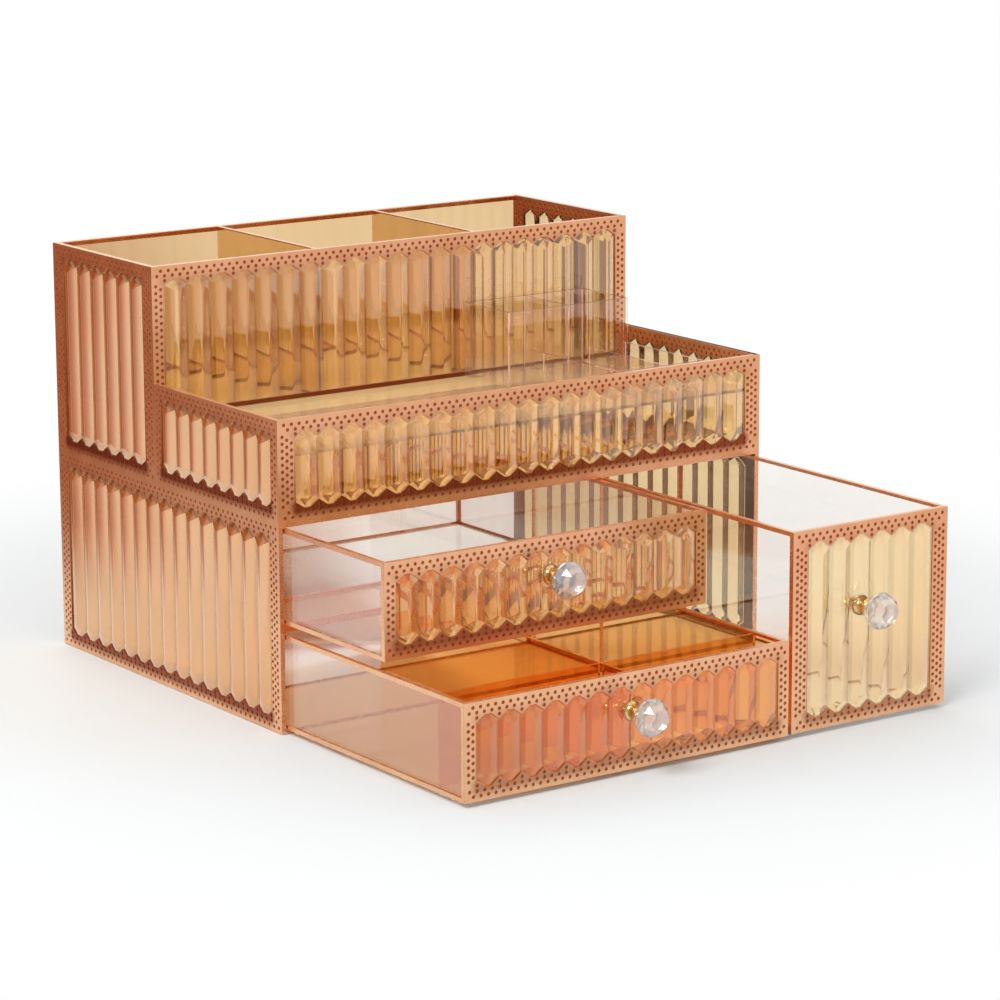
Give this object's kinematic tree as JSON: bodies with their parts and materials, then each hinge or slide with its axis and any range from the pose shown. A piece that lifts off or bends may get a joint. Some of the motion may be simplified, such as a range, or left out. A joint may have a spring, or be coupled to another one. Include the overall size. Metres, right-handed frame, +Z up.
{
  "type": "glass vanity organizer",
  "caption": "Amber glass vanity organizer with copper lace edging: open compartments and a tray with a clear insert above sliding drawers with crystal knobs.",
  "frame": {"origin": "centre of the cabinet's footprint, on the underside of its base pane, where it rests", "axes": "+Z up; the drawers open towards -Y and +Y points to the back; +X to the right as seen from the front"},
  "size_m": [0.3238, 0.423, 0.232],
  "materials": {
    "amber_glass": "clear tinted glass, fluted on the outer faces",
    "copper_strip": "bright rose copper plating",
    "crystal": "cut and polished",
    "gilt_knob_metal": "polished gilt",
    "clear_acrylic": "clear, glossy"
  },
  "bodies": {
    "organizer": {"bay_divider": "amber_glass", "cabinet_back": "amber_glass", "cabinet_base": "amber_glass", "cabinet_left": "amber_glass", "cabinet_left_lace": "copper_strip", "cabinet_right": "amber_glass", "cabinet_right_lace": "copper_strip", "cabinet_top": "amber_glass", "drawer_shelf": "amber_glass", "front_trim": "copper_strip", "tall_back": "amber_glass", "tall_divider_left": "amber_glass", "tall_divider_right": "amber_glass", "tall_front": "amber_glass", "tall_front_lace": "copper_strip", "tall_left": "amber_glass", "tall_left_lace": "copper_strip", "tall_right": "amber_glass", "tall_right_lace": "copper_strip", "tall_trim": "copper_strip", "tier_floor": "amber_glass", "tray_front": "amber_glass", "tray_front_lace": "copper_strip", "tray_left": "amber_glass", "tray_left_lace": "copper_strip", "tray_right": "amber_glass", "tray_right_lace": "copper_strip"},
    "upper_drawer": {"upper_drawer_back_pane": "amber_glass", "upper_drawer_bottom_pane": "amber_glass", "upper_drawer_front": "amber_glass", "upper_drawer_front_lace": "copper_strip", "upper_drawer_knob_collar": "gilt_knob_metal", "upper_drawer_knob_crystal": "crystal", "upper_drawer_knob_screw": "gilt_knob_metal", "upper_drawer_left_pane": "amber_glass", "upper_drawer_right_pane": "amber_glass", "upper_drawer_trim": "copper_strip"},
    "lower_drawer": {"lower_drawer_back_pane": "amber_glass", "lower_drawer_bottom_pane": "amber_glass", "lower_drawer_cross_divider": "amber_glass", "lower_drawer_front": "amber_glass", "lower_drawer_front_lace": "copper_strip", "lower_drawer_knob_collar": "gilt_knob_metal", "lower_drawer_knob_crystal": "crystal", "lower_drawer_knob_screw": "gilt_knob_metal", "lower_drawer_left_pane": "amber_glass", "lower_drawer_long_divider": "amber_glass", "lower_drawer_right_pane": "amber_glass", "lower_drawer_trim": "copper_strip"},
    "side_drawer": {"side_drawer_back_pane": "amber_glass", "side_drawer_bottom_pane": "amber_glass", "side_drawer_front": "amber_glass", "side_drawer_front_lace": "copper_strip", "side_drawer_knob_collar": "gilt_knob_metal", "side_drawer_knob_crystal": "crystal", "side_drawer_knob_screw": "gilt_knob_metal", "side_drawer_left_pane": "amber_glass", "side_drawer_right_pane": "amber_glass", "side_drawer_trim": "copper_strip"},
    "insert": {"clear_insert": "clear_acrylic"}
  },
  "joints": [
    {"name": "upper_drawer_slide", "type": "slide", "parent": "organizer", "child": "upper_drawer", "axis": [0, -1, 0], "range_m": [-0.0943, 0.0957]},
    {"name": "lower_drawer_slide", "type": "slide", "parent": "organizer", "child": "lower_drawer", "axis": [0, -1, 0], "range_m": [-0.164, 0.026]},
    {"name": "side_drawer_slide", "type": "slide", "parent": "organizer", "child": "side_drawer", "axis": [0, -1, 0], "range_m": [-0.163, 0.027]},
    {"name": "insert_lift", "type": "slide", "parent": "organizer", "child": "insert", "axis": [0, 0, 1], "range_m": [0, 0.08]}
  ]
}
